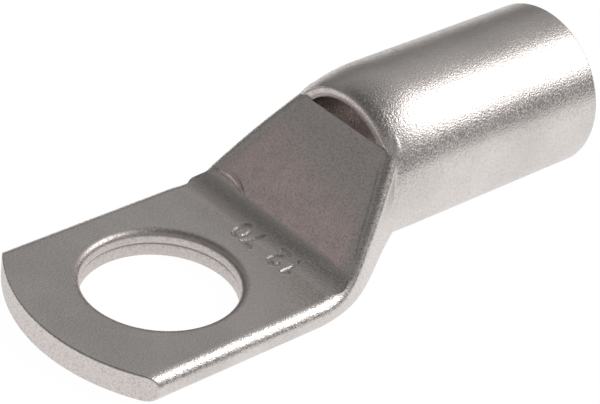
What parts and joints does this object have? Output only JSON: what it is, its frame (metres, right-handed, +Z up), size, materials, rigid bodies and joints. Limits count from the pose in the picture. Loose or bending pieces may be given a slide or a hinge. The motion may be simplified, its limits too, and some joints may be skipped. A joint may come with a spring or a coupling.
{
  "type": "cable lug",
  "caption": "Tubular cable lug formed from one piece of tinned copper tube, with an open round barrel, a crescent inspection window, a sloping panel and a flat palm with a bolt hole.",
  "frame": {"origin": "centre of the bolt hole on the underside of the palm, which is the plane the lug rests on", "axes": "+X along the lug from the palm towards the open mouth of the barrel, +Z up, normal to the palm and along the bolt hole"},
  "size_m": [0.0538, 0.0208, 0.0146],
  "materials": {
    "tinned_copper": "satin tin plate over copper, fine-grained, a little pink where the tin is thin"
  },
  "bodies": {
    "root": {"cable_lug": "tinned_copper"}
  },
  "joints": []
}
